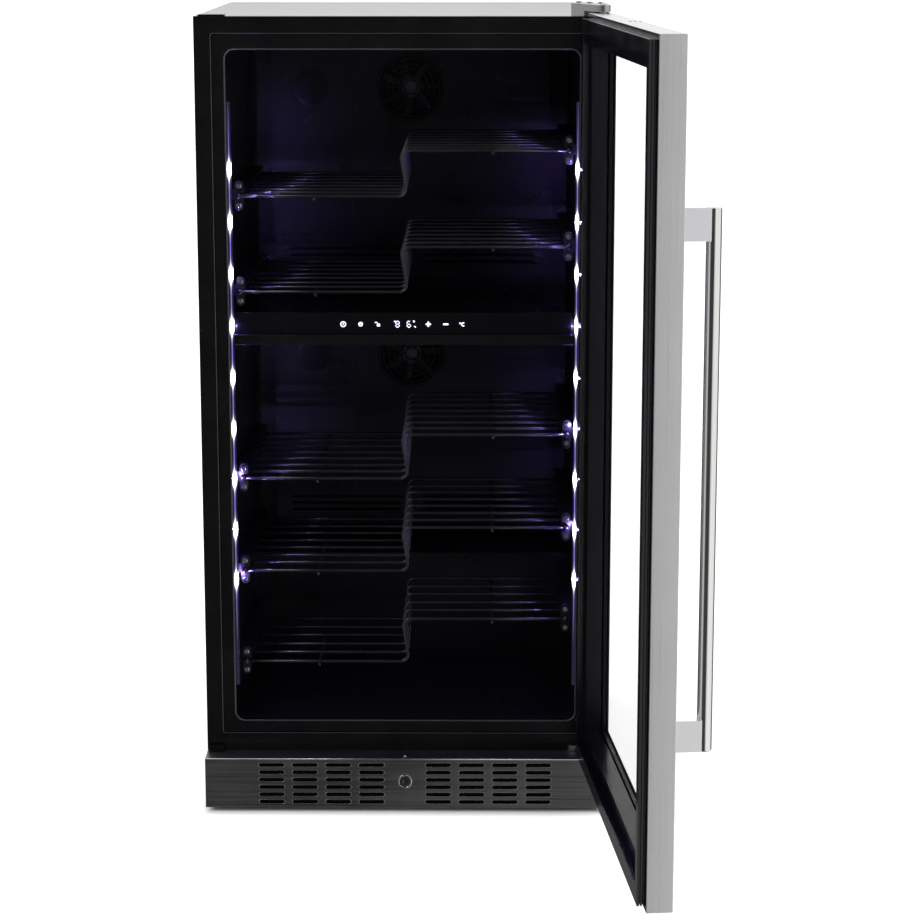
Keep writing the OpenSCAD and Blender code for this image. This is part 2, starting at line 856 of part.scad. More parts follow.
module handle_bar() {
  color([0.78, 0.78, 0.79])
    on_door() {
      rod_z(handle_x, handle_y, handle_lo + 1, handle_hi - 1, handle_d);
      translate([handle_x, handle_y, handle_hi - 1])
        cylinder(r1 = handle_d / 2, r2 = handle_d / 2 - 1, h = 1);
      translate([handle_x, handle_y, handle_lo])
        cylinder(r1 = handle_d / 2 - 1, r2 = handle_d / 2, h = 1);
    }
}

module handle_posts() {
  color([0.74, 0.74, 0.75])
    on_door()
      for (z = [handle_lo, handle_hi - post_h]) {
        difference() {
          box([handle_x - post_w / 2, handle_y + 4.6, z],
              [handle_x + post_w / 2, door_out - 0.05, z + post_h]);
          rod_z(handle_x, handle_y, z - 1, z + post_h + 1, handle_d + 0.02);
        }
        rod_y(handle_x, door_out + 1.15, door_out + 12, z + post_h / 2, 5.9);
      }
}

module door_bushes() {
  color([0.80, 0.80, 0.78])
    on_door()
      for (z = [door_lo + 0.2, door_hi - 18])
        difference() {
          rod_z(pivot[0], pivot[1], z, z + 17.8, 13.9);
          rod_z(pivot[0], pivot[1], z - 1, z + 19, 2 * pin_r + 0.1);
        }
}

side_panel_left();
side_panel_right();
top_panel();
back_panel();
insulation_foam();
inner_liner();
front_frame();
machine_room_sheet();
base_pan();
foot_nuts();
kick_plate();
kick_plate_screws();
lock_housing();
lock_escutcheon();
lock_barrel();
lock_bolt();
machine_room_cover();
cord_gland();
compressor();
compressor_grommets();
condenser();
condenser_fan_shroud();
condenser_fan_rotor();
drain_tray();
control_box();
upper_air_duct();
lower_air_duct();
fan_grilles();
upper_fan_rotor();
lower_fan_rotor();
evaporators();
filter_caps();
led_strips();
led_chips();
zone_divider();
control_glass();
display_board();
rack_guides();
guide_screws();
rack_1();
rack_2();
rack_3();
rack_4();
rack_5();
top_hinge_bracket();
bottom_hinge_bracket();
hinge_screws();
hinge_hole_covers();
foot_front_left();
foot_front_right();
foot_rear_left();
foot_rear_right();
door_outer_frame();
door_inner_frame();
door_panes();
door_spacer();
door_gasket();
handle_bar();
handle_posts();
door_bushes();
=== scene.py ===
"""Looks of the wine cooler: materials, wire racks, lit symbols, soft edges, lights and camera.

Lengths are in metres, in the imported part's frame: X to the right, Y to the back and Z up.
The cabinet's front plane is at Y = 0 and the floor at Z = 0.
"""

import json
import math

import bmesh
import bpy
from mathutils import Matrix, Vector


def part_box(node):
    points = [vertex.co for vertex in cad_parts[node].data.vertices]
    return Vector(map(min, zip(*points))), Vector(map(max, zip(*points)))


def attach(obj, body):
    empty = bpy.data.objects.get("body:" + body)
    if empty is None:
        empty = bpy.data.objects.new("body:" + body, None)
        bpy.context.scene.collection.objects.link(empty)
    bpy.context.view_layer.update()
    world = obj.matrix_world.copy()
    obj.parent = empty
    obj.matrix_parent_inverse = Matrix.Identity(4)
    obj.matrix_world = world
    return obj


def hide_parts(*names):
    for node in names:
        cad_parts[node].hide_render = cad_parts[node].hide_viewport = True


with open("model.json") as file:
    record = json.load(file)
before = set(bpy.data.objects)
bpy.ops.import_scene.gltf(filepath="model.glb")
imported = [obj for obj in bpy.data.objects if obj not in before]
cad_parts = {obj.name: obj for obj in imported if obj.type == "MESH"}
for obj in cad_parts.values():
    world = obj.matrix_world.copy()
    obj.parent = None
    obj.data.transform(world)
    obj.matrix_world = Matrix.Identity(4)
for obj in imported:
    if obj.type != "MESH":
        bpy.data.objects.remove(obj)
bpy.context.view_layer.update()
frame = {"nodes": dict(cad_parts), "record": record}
NODES = frame["nodes"]
scene = bpy.context.scene


# ---- node helpers ----


class Tree:
    """A material's node tree, with short calls to add and join nodes."""

    def __init__(self, name):
        self.mat = bpy.data.materials.new(name)
        self.mat.use_nodes = True
        self.t = self.mat.node_tree
        self.t.nodes.clear()
        self.out = self.add("ShaderNodeOutputMaterial")
        self.shader = self.add("ShaderNodeBsdfPrincipled")
        self.join(self.shader, "BSDF", self.out, "Surface")
        self.coords = self.add("ShaderNodeTexCoord")

    def add(self, kind, **props):
        n = self.t.nodes.new(kind)
        for k, v in props.items():
            setattr(n, k, v)
        return n

    def join(self, a, out, b, into):
        self.t.links.new(a.outputs[out], b.inputs[into])

    def maths(self, op, *values):
        """A math node on numbers, nodes (their first output) or (node, output) pairs."""
        n = self.add("ShaderNodeMath", operation=op)
        for socket, value in zip(n.inputs, values):
            if isinstance(value, (int, float)):
                socket.default_value = value
            else:
                node, out = value if isinstance(value, tuple) else (value, 0)
                self.t.links.new(node.outputs[out], socket)
        return n

    def put(self, **values):
        """Values on the shader's inputs, with _ for a space in their names."""
        for k, v in values.items():
            name = k.replace("_", " ")
            v = (*v, 1.0) if isinstance(v, tuple) and len(v) == 3 else v
            self.shader.inputs[name].default_value = v

    def mapped(self, scale):
        """Object coordinates times a scale per axis."""
        m = self.add("ShaderNodeMapping")
        m.inputs["Scale"].default_value = scale
        self.join(self.coords, "Object", m, "Vector")
        return m

    def noise(self, scale, detail=3.0, rough=0.6):
        n = self.add("ShaderNodeTexNoise")
        n.inputs["Scale"].default_value = 1.0
        n.inputs["Detail"].default_value = detail
        n.inputs["Roughness"].default_value = rough
        self.join(self.mapped(scale), "Vector", n, "Vector")
        return n

    def spread(self, src, out, lo, hi, a=0.3, b=0.7):
        """An output's range a..b, spread to lo..hi and held there."""
        r = self.add("ShaderNodeMapRange")
        for k, v in (("From Min", a), ("From Max", b), ("To Min", lo), ("To Max", hi)):
            r.inputs[k].default_value = v
        self.join(src, out, r, "Value")
        return r

    def tint(self, src, out, dark, light, a=0.3, b=0.7):
        """Base colour from dark to light as an output goes from a to b."""
        r = self.add("ShaderNodeValToRGB")
        r.color_ramp.elements[0].position = a
        r.color_ramp.elements[0].color = (*dark, 1)
        r.color_ramp.elements[1].position = b
        r.color_ramp.elements[1].color = (*light, 1)
        self.join(src, out, r, "Fac")
        self.join(r, "Color", self.shader, "Base Color")

    def bump(self, src, out, strength, distance):
        """A bump from an output, distance in metres."""
        b = self.add("ShaderNodeBump")
        b.inputs["Strength"].default_value = strength
        b.inputs["Distance"].default_value = distance
        self.join(src, out, b, "Height")
        self.join(b, "Normal", self.shader, "Normal")


# noise scale across the hairlines of brushed metal
HAIRS = 2600.0


def shades(colour, by):
    """A darker and a lighter shade of a colour."""
    return tuple(c * (1 - by) for c in colour), tuple(min(1, c * (1 + by)) for c in colour)


def brushed(name, colour, rough, along, vary=0.10, bump=0.12, smudge=0.05):
    """Brushed metal: hairlines run along one axis (0, 1 or 2), with faint smudges."""
    m = Tree(name)
    hair_scale = [HAIRS] * 3
    hair_scale[along] = HAIRS / 260
    hair = m.noise(hair_scale, 4, 0.7)
    streak_scale = [HAIRS / 7] * 3
    streak_scale[along] = HAIRS / 900
    streak = m.noise(streak_scale, 2, 0.5)
    cloud = m.noise((9, 9, 9), 3, 0.6)
    m.put(Metallic=1.0, IOR=2.2)
    lines = m.maths("ADD", (hair, "Fac"), (streak, "Fac"))
    m.tint(lines, 0, *shades(colour, vary), a=0.7, b=1.3)
    grain = m.spread(lines, 0, rough - 0.06, rough + 0.08, 0.7, 1.3)
    dirt = m.spread(cloud, "Fac", -smudge, smudge)
    m.join(m.maths("ADD", grain, dirt), 0, m.shader, "Roughness")
    m.bump(hair, "Fac", bump, 0.00006)
    return m.mat


def plain_metal(name, colour, rough, vary=0.06, bump=0.10, grain=900.0):
    """Cast, plated or polished metal with a fine even grain and some staining."""
    m = Tree(name)
    fine = m.noise((grain,) * 3, 3, 0.6)
    cloud = m.noise((22, 22, 22), 4, 0.6)
    m.put(Metallic=1.0)
    m.tint(cloud, "Fac", *shades(colour, vary))
    m.join(m.spread(cloud, "Fac", rough * 0.75, rough * 1.3), 0, m.shader, "Roughness")
    m.bump(fine, "Fac", bump, 0.00008)
    return m.mat


def zinc(name, colour):
    """Zinc-coated sheet with its crystal flakes."""
    m = Tree(name)
    cells = m.add("ShaderNodeTexVoronoi", feature="F1")
    cells.inputs["Scale"].default_value = 85.0
    m.join(m.coords, "Object", cells, "Vector")
    grey = m.add("ShaderNodeSeparateColor")
    m.join(cells, "Color", grey, "Color")
    m.put(Metallic=0.85)
    m.tint(grey, "Red", *shades(colour, 0.10), a=0.0, b=1.0)
    m.join(m.spread(grey, "Green", 0.34, 0.52, 0, 1), 0, m.shader, "Roughness")
    m.bump(m.noise((500, 500, 500)), "Fac", 0.05, 0.0001)
    return m.mat


def moulded(name, colour, rough, spec=0.4, grain=1400.0, bump=0.25, deep=0.00012, coat=0.0, vary=0.18):
    """Moulded plastic or paint with a fine surface grain and faint handling marks."""
    m = Tree(name)
    fine = m.noise((grain,) * 3, 2, 0.5)
    cloud = m.noise((14, 14, 14), 4, 0.65)
    m.put(Specular_IOR_Level=spec, Coat_Weight=coat, Coat_Roughness=0.06)
    m.tint(cloud, "Fac", *shades(colour, vary))
    m.join(m.spread(cloud, "Fac", rough - 0.05, rough + 0.07), 0, m.shader, "Roughness")
    m.bump(fine, "Fac", bump, deep)
    return m.mat


def glass(name, colour, alpha):
    """Thin clear glass: mostly see-through, with a gloss of its own and faint wipe marks."""
    m = Tree(name)
    cloud = m.noise((7, 7, 7), 3, 0.5)
    m.put(Specular_IOR_Level=0.5)
    m.tint(cloud, "Fac", *shades(colour, 0.02))
    m.join(m.spread(cloud, "Fac", 0.02, 0.06), 0, m.shader, "Roughness")
    m.join(m.spread(cloud, "Fac", alpha * 0.9, alpha * 1.1), 0, m.shader, "Alpha")
    return m.mat


# how each material slot looks
MAKERS = {
    "black_paint": lambda n: moulded(n, (0.012, 0.012, 0.014), 0.16, spec=0.9, grain=900, bump=0.05,
                                     coat=1.0),
    "zinc_sheet": lambda n: zinc(n, (0.42, 0.43, 0.44)),
    "foam": lambda n: moulded(n, (0.72, 0.64, 0.40), 0.85, grain=420, bump=0.6, deep=0.0006),
    "liner_plastic": lambda n: moulded(n, (0.0045, 0.0045, 0.0065), 0.30, spec=0.26, grain=1100, bump=0.15),
    "frame_plastic": lambda n: moulded(n, (0.0035, 0.0035, 0.0042), 0.22, spec=0.28, grain=1300, bump=0.06),
    "zinc_steel": lambda n: plain_metal(n, (0.60, 0.61, 0.62), 0.30),
    "dark_brushed_steel": lambda n: brushed(n, (0.19, 0.19, 0.193), 0.33, 0, vary=0.12, bump=0.2),
    "chrome": lambda n: plain_metal(n, (0.82, 0.82, 0.83), 0.12, bump=0.04),
    "lock_metal": lambda n: plain_metal(n, (0.22, 0.22, 0.23), 0.20, bump=0.06),
    "black_rubber": lambda n: moulded(n, (0.014, 0.014, 0.014), 0.7, spec=0.3, grain=700, bump=0.4),
    "black_enamel": lambda n: moulded(n, (0.012, 0.012, 0.013), 0.28, spec=0.5, grain=600, bump=0.12,
                                      coat=0.5),
    "fan_plastic": lambda n: moulded(n, (0.03, 0.03, 0.033), 0.4, spec=0.4),
    "grey_plastic": lambda n: moulded(n, (0.42, 0.42, 0.41), 0.5, spec=0.4, vary=0.06),
    "aluminium_fin": lambda n: plain_metal(n, (0.72, 0.73, 0.74), 0.32),
    "guide_plastic": lambda n: moulded(n, (0.006, 0.006, 0.008), 0.30, spec=0.30, grain=1500, bump=0.1),
    "rack_wire": lambda n: moulded(n, (0.006, 0.006, 0.008), 0.20, spec=0.55, grain=700, bump=0.08),
    "hinge_steel": lambda n: brushed(n, (0.34, 0.34, 0.35), 0.28, 1, vary=0.08),
    "foot_plastic": lambda n: moulded(n, (0.02, 0.02, 0.02), 0.5),
    "door_steel": lambda n: brushed(n, (0.60, 0.60, 0.605), 0.30, 2, vary=0.10),
    "door_frame_plastic": lambda n: moulded(n, (0.0035, 0.0035, 0.005), 0.20, spec=0.20, grain=1600,
                                            bump=0.05),
    "clear_glass": lambda n: glass(n, (0.020, 0.028, 0.028), 0.05),
    "smoked_glass": lambda n: moulded(n, (0.003, 0.003, 0.004), 0.06, spec=0.30, grain=300, bump=0.01),
    "display_light": lambda n: moulded(n, (0.01, 0.012, 0.014), 0.5),
    "spacer_metal": lambda n: plain_metal(n, (0.018, 0.018, 0.022), 0.45),
    "gasket_rubber": lambda n: moulded(n, (0.004, 0.004, 0.006), 0.20, spec=0.50, grain=900, bump=0.08),
    "handle_steel": lambda n: brushed(n, (0.70, 0.69, 0.68), 0.13, 2, vary=0.06, bump=0.06),
    "bush_plastic": lambda n: moulded(n, (0.6, 0.6, 0.57), 0.5, vary=0.05),
}

MATS = {slot: make(slot) for slot, make in MAKERS.items()}
SLOT_OF = {s["node"]: s["material_slot"] for s in frame["record"]["subparts"]}


# ---- camera ----

# fitted to the object's corners in the photo; the shift is smaller than the fit's
CAMERA_AT = (0.1012, -3.4528, 1.3210)
CAMERA_DOWN = 10.734
CAMERA_TURN = 0.307
cam_data = bpy.data.cameras.new("camera")
cam_data.sensor_width = 36.0
cam_data.lens = 94.2
cam_data.shift_y = -0.10
cam_data.clip_end = 100
camera = bpy.data.objects.new("camera", cam_data)
camera.location = CAMERA_AT
camera.rotation_euler = (math.radians(90 - CAMERA_DOWN), 0, math.radians(CAMERA_TURN))
scene.collection.objects.link(camera)
scene.camera = camera
scene.view_settings.view_transform = "Standard"
scene.view_settings.look = "None"


# ---- mesh helpers ----

# points closer together than this are one point
SAME_POINT = 0.000001


def piece(name, bm, material, body, smooth=True):
    """A mesh object from a bmesh in the part's frame, riding on a body."""
    mesh = bpy.data.meshes.new(name)
    bmesh.ops.recalc_face_normals(bm, faces=bm.faces)
    bm.to_mesh(mesh)
    bm.free()
    mesh.materials.append(material)
    for p in mesh.polygons:
        p.use_smooth = smooth
    o = bpy.data.objects.new(name, mesh)
    scene.collection.objects.link(o)
    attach(o, body)
    return o


def turns(sides):
    """The angles of a circle's corners, in radians."""
    return [2 * math.pi * k / sides for k in range(sides)]


def skin(bm, rings, closed=False):
    """Faces from each ring of vertices to the next, and from the last to the first if closed."""
    pairs = list(zip(rings, rings[1:]))
    if closed:
        pairs.append((rings[-1], rings[0]))
    for a, b in pairs:
        for k in range(len(a)):
            n = (k + 1) % len(a)
            bm.faces.new((a[k], a[n], b[n], b[k]))


def tube(bm, path, radius, sides=14):
    """A round bar swept along a path, with domed ends."""
    path = [Vector(p) for p in path]
    rings = []
    side = None
    for i, p in enumerate(path):
        ahead = (path[min(i + 1, len(path) - 1)] - path[max(i - 1, 0)]).normalized()
        if side is None:
            side = ahead.orthogonal().normalized()
        side = (side - ahead * side.dot(ahead)).normalized()
        up = ahead.cross(side)
        around = [math.cos(a) * side + math.sin(a) * up for a in turns(sides)]
        rings.append([bm.verts.new(p + radius * way) for way in around])
    skin(bm, rings)
    first_out = path[0] - path[1]
    last_out = path[-1] - path[-2]
    for ring, p, out in ((rings[0], path[0], first_out), (rings[-1], path[-1], last_out)):
        out = out.normalized()
        dome = [bm.verts.new(p + (v.co - p) * 0.6 + out * radius * 0.35) for v in ring]
        skin(bm, [ring, dome])
        bm.faces.new(dome)


def corner(centre, radius, a0, a1, n=7):
    """Points of an arc in the XZ plane, about (x, y, z), from angle a0 to a1 in degrees."""
    x, y, z = centre
    pts = []
    for i in range(n + 1):
        a = math.radians(a0 + (a1 - a0) * i / n)
        pts.append((x + radius * math.cos(a), y, z + radius * math.sin(a)))
    return pts


def bead(bm, half_x, z0, z1, radius, y, thick, sides=10, middle=0.0, arc_steps=8):
    """A closed round bead along a rounded rectangle in the XZ plane."""
    inner = half_x - radius
    points = []
    for cx, cz, start in ((inner, z1 - radius, 90), (inner, z0 + radius, 0),
                          (-inner, z0 + radius, -90), (-inner, z1 - radius, -180)):
        points += corner((middle + cx, y, cz), radius, start, start - 90, arc_steps)
    points = [Vector(p) for p in points]
    path = [p for i, p in enumerate(points) if (p - points[i - 1]).length > SAME_POINT]
    back = Vector((0, 1, 0))
    rings = []
    for i, p in enumerate(path):
        ahead = (path[(i + 1) % len(path)] - path[i - 1]).normalized()
        out = ahead.cross(back)
        around = [math.cos(a) * out + math.sin(a) * back for a in turns(sides)]
        rings.append([bm.verts.new(p + thick * way) for way in around])
    skin(bm, rings, closed=True)


# ---- racks: stepped wires with a leaning riser, on two rails ----

WIRE = 0.0025
RAIL = 0.004
RAIL_END = 0.0005
LEFT_RAIL_UP = 0.0069
LEAN = 0.0035
LEAN_ANGLE = 4
BEND = 0.011
WIRE_TURN_X = 0.12
FIRST_WIRE_Y = 0.034
PAIR_PITCH = 0.088
PAIR_GAP = 0.046
SHORT_RACK = 0.3
TIE_X = 0.13
TIE_DROP = 0.0044
TIE_PAST = 0.003
for i in range(1, 6):
    lo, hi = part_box(f"rack_{i}")
    rail_x = hi.x - RAIL
    pairs = 3 if hi.y - lo.y < SHORT_RACK else 4
    z_left = lo.z + LEFT_RAIL_UP
    z_right = hi.z - RAIL
    bm = bmesh.new()
    for x, z in ((-rail_x, z_left), (rail_x, z_right)):
        rail_path = [(x, lo.y + RAIL_END, z), (x, (lo.y + hi.y) / 2, z), (x, hi.y - RAIL_END, z)]
        tube(bm, rail_path, RAIL, 18)
    ys = []
    for k in range(pairs):
        ys += [FIRST_WIRE_Y + PAIR_PITCH * k, FIRST_WIRE_Y + PAIR_PITCH * k + PAIR_GAP]
    for y in ys:
        path = [(-rail_x, y, z_left), (-WIRE_TURN_X, y, z_left)]
        path += corner((LEAN - BEND, y, z_left + BEND), BEND, -90, LEAN_ANGLE)
        path += corner((-LEAN + BEND, y, z_right - BEND), BEND, 180 + LEAN_ANGLE, 90)
        path += [(WIRE_TURN_X, y, z_right), (rail_x, y, z_right)]
        tube(bm, path, WIRE)
    for x, z in ((-TIE_X, z_left - TIE_DROP), (TIE_X, z_right - TIE_DROP)):
        tube(bm, [(x, ys[0] - TIE_PAST, z), (x, ys[-1] + TIE_PAST, z)], WIRE)
    rack = piece(f"rack_{i}_wires", bm, MATS["rack_wire"], f"rack_{i}")
    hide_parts(f"rack_{i}")


# ---- light strips ----

LEDS = 9
LED_HALF = 0.002
LINE_IN_FRONT = 0.0007
led_lo, led_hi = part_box("led_chips")
LED_LINE_X = led_hi.x + LINE_IN_FRONT
LED_PITCH = (led_hi.z - led_lo.z - 2 * LED_HALF) / (LEDS - 1)


def led_strip_material():
    """Milky strip: white where a light sits behind it, violet between, dark past the last ones."""
    m = Tree("led_diffuser")
    first = led_lo.z + LED_HALF
    last = led_hi.z - LED_HALF
    place = m.add("ShaderNodeSeparateXYZ")
    m.join(m.coords, "Object", place, "Vector")
    held = m.add("ShaderNodeClamp")
    held.inputs["Min"].default_value = first
    held.inputs["Max"].default_value = last
    m.join(place, "Z", held, "Value")
    beyond = m.maths("ABSOLUTE", m.maths("SUBTRACT", (place, "Z"), held))
    from_light = m.maths("PINGPONG", m.maths("SUBTRACT", held, first), LED_PITCH / 2)
    near = m.spread(m.maths("ADD", from_light, beyond), 0, 1.0, 0.0, 0.004, 0.030)
    core = m.maths("POWER", near, 4.0)
    across = m.maths("SUBTRACT", m.maths("ABSOLUTE", (place, "X")), LED_LINE_X)
    width = m.spread(core, 0, 0.0007, 0.0034, 0.0, 0.8)
    inside = m.maths("DIVIDE", m.maths("ABSOLUTE", across), width)
    line = m.spread(inside, 0, 1.0, 0.0, 0.5, 1.3)
    bright = m.maths("MULTIPLY", m.maths("MULTIPLY_ADD", core, 9.0, 0.8), line)
    fade = m.spread(beyond, 0, 1.0, 0.03, 0.004, 0.10)
    halo = m.spread(core, 0, 0.012, 0.55, 0.0, 1.0)
    strength = m.maths("ADD", m.maths("MULTIPLY", bright, fade), halo)
    colour = m.add("ShaderNodeValToRGB")
    colour.color_ramp.elements[0].color = (0.34, 0.24, 1.0, 1)
    colour.color_ramp.elements[1].position = 0.75
    colour.color_ramp.elements[1].color = (0.92, 0.90, 1.0, 1)
    m.join(near, 0, colour, "Fac")
    m.join(colour, "Color", m.shader, "Emission Color")
    m.join(strength, 0, m.shader, "Emission Strength")
    m.put(Base_Color=(0.022, 0.020, 0.040), Roughness=0.35)
    m.bump(m.noise((600, 600, 600)), "Fac", 0.1, 0.0001)
    return m.mat


def led_chip_material():
    """The small lights themselves, bright with a faint unevenness."""
    m = Tree("led_light")
    cloud = m.noise((900, 900, 900))
    m.put(Base_Color=(0.9, 0.9, 1.0), Roughness=0.3, Emission_Color=(0.86, 0.82, 1.0))
    m.join(m.spread(cloud, "Fac", 26.0, 32.0), 0, m.shader, "Emission Strength")
    return m.mat


# ---- materials on the CAD nodes ----

MATS["led_diffuser"] = led_strip_material()
MATS["led_light"] = led_chip_material()
for name, o in NODES.items():
    o.data.materials.clear()
    o.data.materials.append(MATS[SLOT_OF[name]])

post_steel = plain_metal("post_steel", (0.93, 0.93, 0.95), 0.34, vary=0.05)
NODES["handle_posts"].data.materials[0] = post_steel


# ---- softened edges ----

# bevel width and the nodes that take it
EDGES = {
    0.0012: ["front_frame", "door_inner_frame", "top_hinge_bracket", "zone_divider"],
    0.0007: ["kick_plate"],
    0.0008: ["door_outer_frame", "side_panel_left", "side_panel_right", "top_panel", "handle_posts",
             "bottom_hinge_bracket", "hinge_hole_covers", "control_box", "control_glass"],
    0.0004: ["rack_guides", "guide_screws", "lock_escutcheon", "machine_room_cover",
             "hinge_screws", "filter_caps", "led_strips", "back_panel"],
}
WELD = 0.00002
SHARP_ANGLE = math.radians(40)
for width, names in EDGES.items():
    for name in names:
        o = NODES[name]
        weld = o.modifiers.new("weld", "WELD")
        weld.merge_threshold = WELD
        bevel = o.modifiers.new("bevel", "BEVEL")
        bevel.width = width
        bevel.segments = 2
        bevel.limit_method = "ANGLE"
        bevel.angle_limit = SHARP_ANGLE
        bevel.use_clamp_overlap = True
        weighted = o.modifiers.new("weighted", "WEIGHTED_NORMAL")
        weighted.keep_sharp = False


# ---- lit symbols on the touch glass ----

SYMBOL_Z = 0.728
SYMBOL_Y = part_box("control_glass")[0].y
SYMBOL_PROUD = 0.0003
SYMBOL_SUNK = 0.0001


def lit(name, colour, strength):
    """A pale print that glows."""
    m = Tree(name)
    cloud = m.noise((700, 700, 700))
    m.put(Roughness=0.4, Emission_Color=colour)
    m.tint(cloud, "Fac", (0.55, 0.56, 0.62), (0.66, 0.67, 0.72))
    m.join(m.spread(cloud, "Fac", strength * 0.9, strength * 1.1), 0, m.shader, "Emission Strength")
    return m.mat


def stroke(bm, pts, width, closed=False):
    """A flat mitred ribbon through (x, z) points, on the face of the touch glass."""
    n = len(pts)
    pts = [Vector((p[0], 0, p[1])) for p in pts]
    near = Vector((0, SYMBOL_Y - SYMBOL_PROUD, 0))
    deep = Vector((0, SYMBOL_Y + SYMBOL_SUNK, 0))
    rings = []
    for i, p in enumerate(pts):
        before = pts[i - 1] if i or closed else None
        after = pts[(i + 1) % n] if i < n - 1 or closed else None
        d0 = (p - before).normalized() if before is not None else None
        d1 = (after - p).normalized() if after is not None else None
        d0 = d0 or d1
        d1 = d1 or d0
        along = (d0 + d1).normalized()
        out = Vector((-along.z, 0, along.x)) * (width / 2 / max(0.4, along.dot(d1)))
        rings.append([bm.verts.new(p + edge) for edge in (out + near, near - out, deep - out, out + deep)])
    skin(bm, rings, closed)
    if not closed:
        bm.faces.new(rings[0])
        bm.faces.new(list(reversed(rings[-1])))


def arc(cx, cz, radius, a0, a1, n=16):
    """(x, z) points of an arc in millimetres from a symbol's middle."""
    turn = [math.radians(a0 + (a1 - a0) * i / n) for i in range(n + 1)]
    return [(cx + radius * math.cos(a), cz + radius * math.sin(a)) for a in turn]


def ring_points(radius, n=20):
    """The corners of a closed circle about a symbol's middle."""
    return arc(0, 0, radius, 0, 360 * (n - 1) / n, n - 1)


def pentagon(radius):
    """The corners of a pentagon about a symbol's middle, one at the top."""
    turn = [math.radians(72 * k) for k in range(5)]
    return [(radius * math.sin(a), radius * math.cos(a)) for a in turn]


def digit(x, segments, width=5.0, height=8.6, gap=0.9, line=1.3):
    """Strokes of a seven-segment digit; segments name the lit ones."""
    a = width / 2
    b = height / 2
    lines = {
        "a": ((-a + gap, b), (a - gap, b)),
        "b": ((a, b - gap), (a, gap)),
        "c": ((a, -gap), (a, -b + gap)),
        "d": ((-a + gap, -b), (a - gap, -b)),
        "e": ((-a, -gap), (-a, -b + gap)),
        "f": ((-a, b - gap), (-a, gap)),
        "g": ((-a + gap, 0), (a - gap, 0)),
    }
    return [(x, list(lines[s]), line, False) for s in segments]


# symbol middle x, points, width, closed; all in millimetres
SYMBOLS = [
    (-89, ring_points(3.6), 1.4, True),
    (-89, [(0, -1.4), (0, 1.6)], 1.3, False),
    (-63.5, pentagon(2.6), 1.9, True),
    (-38.5, [(-1.2, -1.2), (3.4, -1.2)], 4.0, False),
    (-38.5, arc(-2.3, 1.4, 1.7, 0, 175, 10), 1.0, False),
    (-38.5, [(-0.6, 0.4), (-0.6, 1.5)], 1.0, False),
    (-13.5, [(-1.2, 4.2), (1.6, 4.2)], 1.5, False),
    (14.5, arc(0, 4.2, 1.0, 0, 342, 14), 1.0, False),
    (14.5, [(0.2, -2.8), (2.8, -4.6)], 1.5, False),
    (35.5, [(-3.8, 0), (3.8, 0)], 2.3, False),
    (35.5, [(0, -3.8), (0, 3.8)], 2.3, False),
    (61, [(-3.8, 0), (3.8, 0)], 2.5, False),
    (85.5, arc(-3.2, 1.4, 0.9, 0, 342, 12), 0.9, False),
    (85.5, arc(1.2, -0.2, 2.3, 50, 310, 14), 1.5, False),
] + digit(-9.5, "abcdefg") + digit(7, "acdefg")
bm = bmesh.new()
for x, pts, width, closed in SYMBOLS:
    stroke(bm, [((x + a) / 1000, SYMBOL_Z + b / 1000) for a, b in pts], width / 1000, closed)
symbol_light = lit("symbol_light", (0.80, 0.76, 1.0), 1.5)
piece("touch_symbols", bm, symbol_light, "cabinet", smooth=False)


# ---- beads round the mouth and on the front frame, in a lighter plastic than the frame: painted highlight lines ----

# MOUTH_IN is past the light strips; LOW, HIGH and STEP_IN are in from the front frame's box
MOUTH_IN = 0.0008
MOUTH_LOW = 0.0454
MOUTH_HIGH = 0.0464
MOUTH_ROUND = 0.0146
MOUTH_BEAD_Y = 0.0031
MOUTH_BEAD = 0.0013
STEP_IN = 0.024
STEP_LOW = 0.0268
STEP_ROUND = 0.004
STEP_BEAD_Y = 0.0003
STEP_BEAD = 0.0006
mouth_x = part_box("led_strips")[1].x + MOUTH_IN
frame_lo, frame_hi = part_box("front_frame")
# the beads' plastic is about eight times lighter than the frame's own: a painted highlight along the mouth's
# edge and the frame's step
highlight_lip = moulded("lip_highlight_plastic", (0.030, 0.030, 0.034), 0.20, spec=0.7, grain=1300, bump=0.04)
bm = bmesh.new()
bead(bm, mouth_x, frame_lo.z + MOUTH_LOW, frame_hi.z - MOUTH_HIGH, MOUTH_ROUND, MOUTH_BEAD_Y, MOUTH_BEAD)
piece("mouth_bead", bm, highlight_lip, "cabinet")
step_x = frame_hi.x - STEP_IN
bm = bmesh.new()
bead(bm, step_x, frame_lo.z + STEP_LOW, frame_hi.z - STEP_IN, STEP_ROUND, STEP_BEAD_Y, STEP_BEAD)
piece("frame_step_bead", bm, highlight_lip, "cabinet")


# ---- kick plate: bent top edge and rims round its slots in lighter steel (painted highlights), dark filter behind it ----

BEND_R = 0.0009
BEND_END = 0.0008
BEND_BACK = 0.0007
BEND_DOWN = 0.0004
kick_lo, kick_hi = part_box("kick_plate")
bend_y = kick_lo.y + BEND_BACK
bend_z = kick_hi.z - BEND_DOWN
bm = bmesh.new()
tube(bm, [(x, bend_y, bend_z) for x in (kick_lo.x + BEND_END, 0, kick_hi.x - BEND_END)], BEND_R)
# the bend's steel is nearly three times lighter than the kick plate's: a painted highlight along its top
# edge
bend_highlight_steel = brushed("bend_highlight_steel", (0.55, 0.55, 0.56), 0.22, 0)
piece("kick_plate_bend", bm, bend_highlight_steel, "cabinet")

